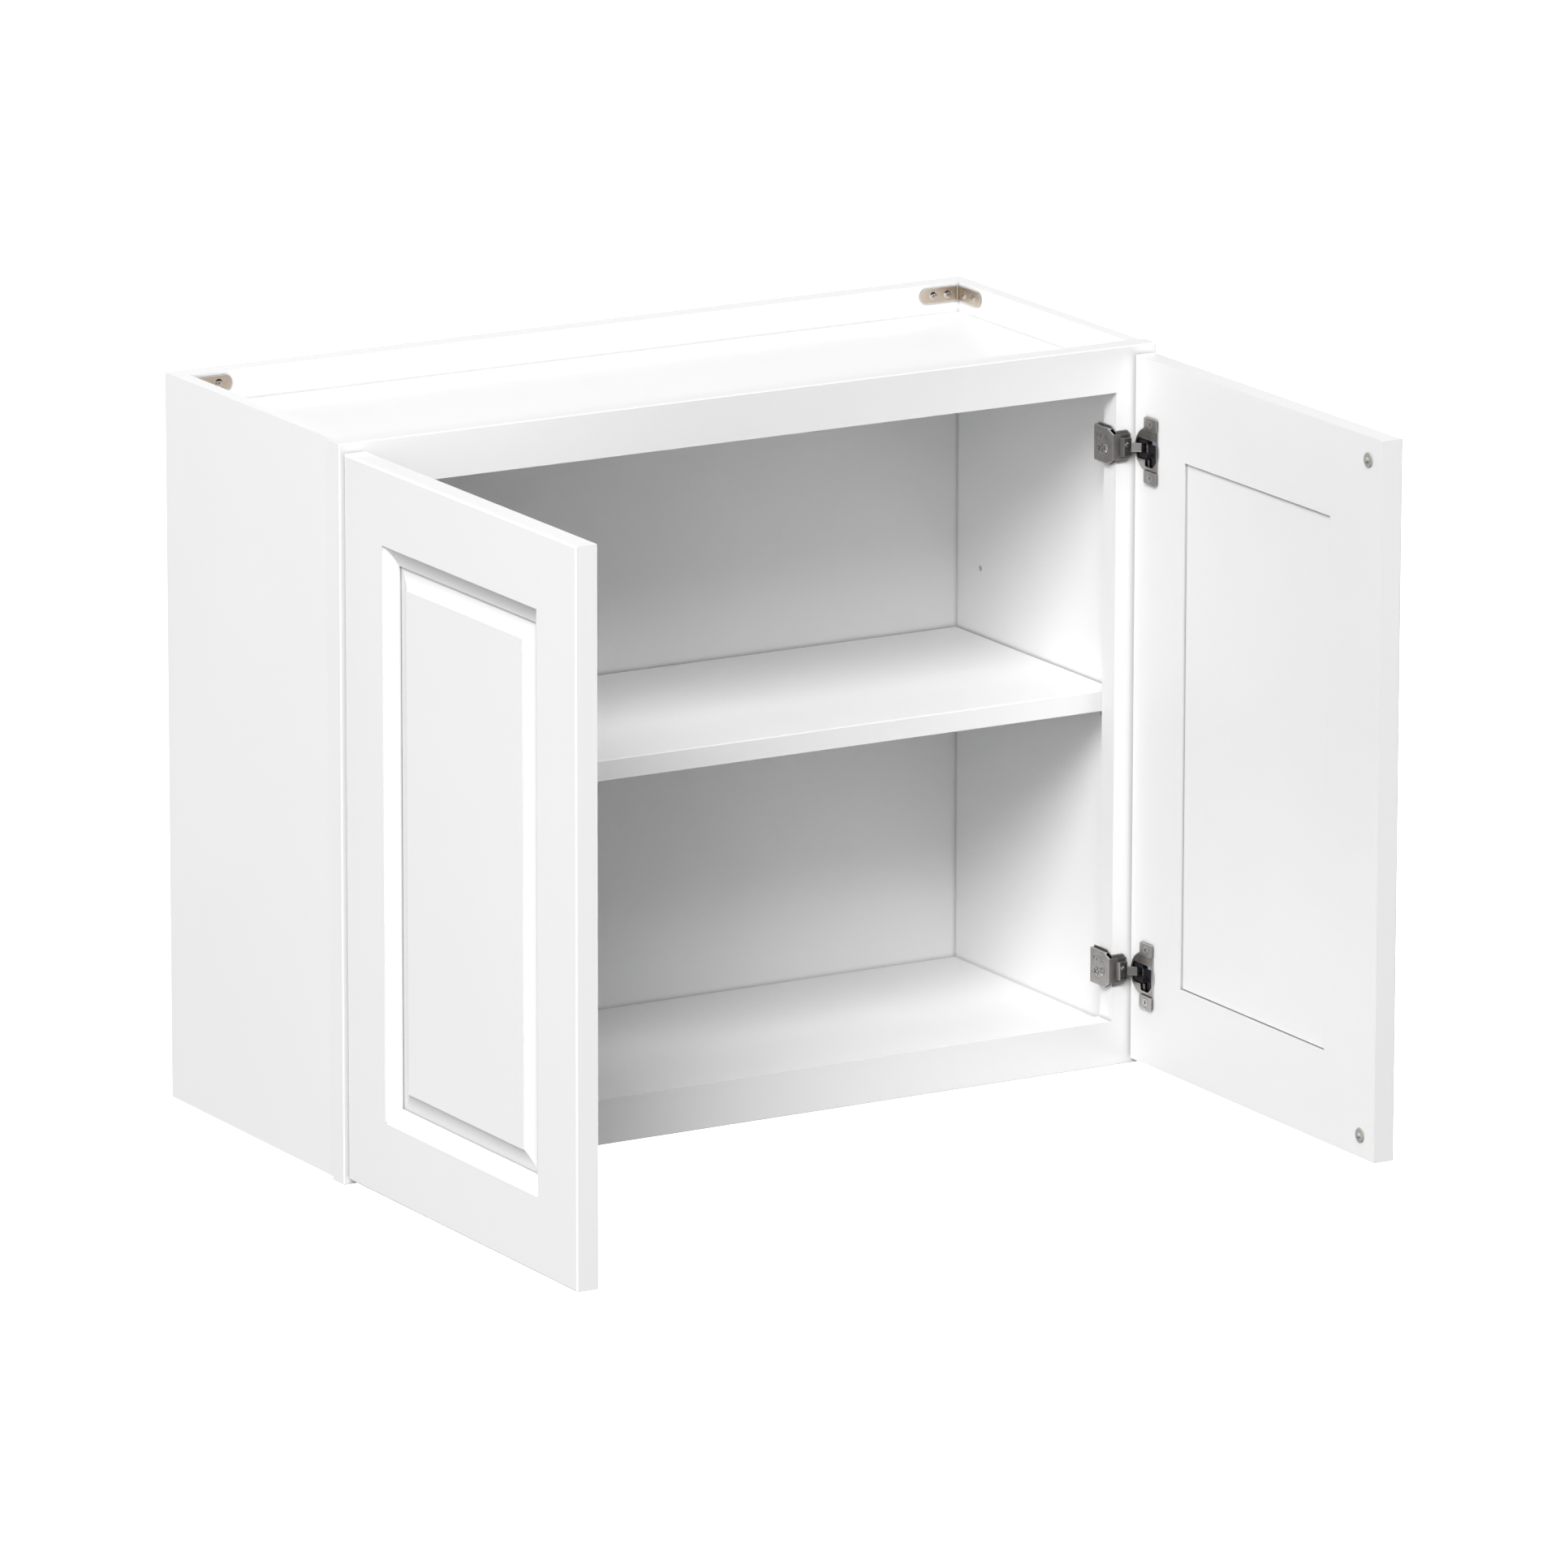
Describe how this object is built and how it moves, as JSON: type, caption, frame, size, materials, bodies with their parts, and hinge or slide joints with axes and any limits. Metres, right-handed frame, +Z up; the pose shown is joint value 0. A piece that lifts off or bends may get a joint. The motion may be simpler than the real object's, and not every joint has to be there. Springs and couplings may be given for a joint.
{
  "type": "wall cabinet",
  "caption": "Framed wall cabinet with two raised-panel doors on soft-close cup hinges, an adjustable shelf and corner brackets in the recess on top.",
  "frame": {"origin": "middle of the upper hanging rail's back face, on the wall", "axes": "+X to the cabinet's right seen from the front, +Y to the wall, +Z up"},
  "size_m": [0.762, 0.6808, 0.6096],
  "materials": {
    "carcass_white": "white satin melamine or paint",
    "frame_white": "white satin paint on maple",
    "door_white": "white satin paint on maple",
    "bracket_nickel": "warm nickel plate",
    "hinge_nickel": "nickel plate, stamped",
    "support_steel": "zinc plate",
    "black_plastic": "moulded",
    "switch_blue": "moulded",
    "bumper_clear": "clear soft plastic"
  },
  "bodies": {
    "cabinet": {"back_panel": "carcass_white", "bottom_panel": "carcass_white", "bracket_screws": "bracket_nickel", "hinge_adjusting_cams": "hinge_nickel", "hinge_base_screws": "hinge_nickel", "hinge_boss_screws": "hinge_nickel", "hinge_lock_screws": "hinge_nickel", "left_corner_bracket": "bracket_nickel", "left_face_stile": "frame_white", "left_lower_hinge_arm": "hinge_nickel", "left_lower_hinge_base": "hinge_nickel", "left_side_panel": "carcass_white", "left_upper_hinge_arm": "hinge_nickel", "left_upper_hinge_base": "hinge_nickel", "lower_face_rail": "frame_white", "lower_hanging_rail": "carcass_white", "right_corner_bracket": "bracket_nickel", "right_face_stile": "frame_white", "right_lower_hinge_arm": "hinge_nickel", "right_lower_hinge_base": "hinge_nickel", "right_side_panel": "carcass_white", "right_upper_hinge_arm": "hinge_nickel", "right_upper_hinge_base": "hinge_nickel", "shelf_supports": "support_steel", "top_panel": "carcass_white", "upper_face_rail": "frame_white", "upper_hanging_rail": "carcass_white"},
    "left_door": {"left_door_bottom_rail": "door_white", "left_door_bumpers": "bumper_clear", "left_door_cup_screws": "hinge_nickel", "left_door_hinge_forks": "black_plastic", "left_door_hinge_pins": "hinge_nickel", "left_door_hinge_stile": "door_white", "left_door_lock_stile": "door_white", "left_door_panel": "door_white", "left_door_top_rail": "door_white", "left_lower_hinge_cup": "hinge_nickel", "left_upper_hinge_cup": "hinge_nickel"},
    "left_upper_damper": {"left_upper_hinge_damper": "black_plastic"},
    "left_upper_switch": {"left_upper_soft_close_switch": "switch_blue"},
    "left_lower_damper": {"left_lower_hinge_damper": "black_plastic"},
    "left_lower_switch": {"left_lower_soft_close_switch": "switch_blue"},
    "right_door": {"right_door_bottom_rail": "door_white", "right_door_bumpers": "bumper_clear", "right_door_cup_screws": "hinge_nickel", "right_door_hinge_forks": "black_plastic", "right_door_hinge_pins": "hinge_nickel", "right_door_hinge_stile": "door_white", "right_door_lock_stile": "door_white", "right_door_panel": "door_white", "right_door_top_rail": "door_white", "right_lower_hinge_cup": "hinge_nickel", "right_upper_hinge_cup": "hinge_nickel"},
    "right_upper_damper": {"right_upper_hinge_damper": "black_plastic"},
    "right_upper_switch": {"right_upper_soft_close_switch": "switch_blue"},
    "right_lower_damper": {"right_lower_hinge_damper": "black_plastic"},
    "right_lower_switch": {"right_lower_soft_close_switch": "switch_blue"},
    "shelf": {"shelf": "carcass_white"}
  },
  "joints": [
    {"name": "left_door_hinge", "type": "hinge", "parent": "cabinet", "child": "left_door", "pos_m": [-0.3669, -0.3155, -0.254], "axis": [0, 0, 1], "range_deg": [-10, 90]},
    {"name": "right_door_hinge", "type": "hinge", "parent": "cabinet", "child": "right_door", "pos_m": [0.3669, -0.3155, -0.254], "axis": [0, 0, 1], "range_deg": [-90, 10]},
    {"name": "left_upper_damper_slide", "type": "slide", "parent": "left_door", "child": "left_upper_damper", "axis": [0, -1, 0], "range_m": [-0.0015, 0.0087]},
    {"name": "left_upper_switch_slide", "type": "slide", "parent": "left_door", "child": "left_upper_switch", "axis": [0, -1, 0], "range_m": [0, 0.002]},
    {"name": "left_lower_damper_slide", "type": "slide", "parent": "left_door", "child": "left_lower_damper", "axis": [0, -1, 0], "range_m": [-0.0015, 0.0087]},
    {"name": "left_lower_switch_slide", "type": "slide", "parent": "left_door", "child": "left_lower_switch", "axis": [0, -1, 0], "range_m": [0, 0.002]},
    {"name": "right_upper_damper_slide", "type": "slide", "parent": "right_door", "child": "right_upper_damper", "axis": [0, -1, 0], "range_m": [-0.0015, 0.0087]},
    {"name": "right_upper_switch_slide", "type": "slide", "parent": "right_door", "child": "right_upper_switch", "axis": [0, -1, 0], "range_m": [0, 0.002]},
    {"name": "right_lower_damper_slide", "type": "slide", "parent": "right_door", "child": "right_lower_damper", "axis": [0, -1, 0], "range_m": [-0.0015, 0.0087]},
    {"name": "right_lower_switch_slide", "type": "slide", "parent": "right_door", "child": "right_lower_switch", "axis": [0, -1, 0], "range_m": [0, 0.002]},
    {"name": "shelf_lift", "type": "slide", "parent": "cabinet", "child": "shelf", "axis": [0, 0, 1], "range_m": [0, 0.06]}
  ],
  "couplings": [
    {"joint": "left_upper_damper_slide", "follows": "left_door_hinge", "m_per_rad": 0.005475},
    {"joint": "left_lower_damper_slide", "follows": "left_door_hinge", "m_per_rad": 0.005475},
    {"joint": "right_upper_damper_slide", "follows": "right_door_hinge", "m_per_rad": -0.005475},
    {"joint": "right_lower_damper_slide", "follows": "right_door_hinge", "m_per_rad": -0.005475}
  ]
}
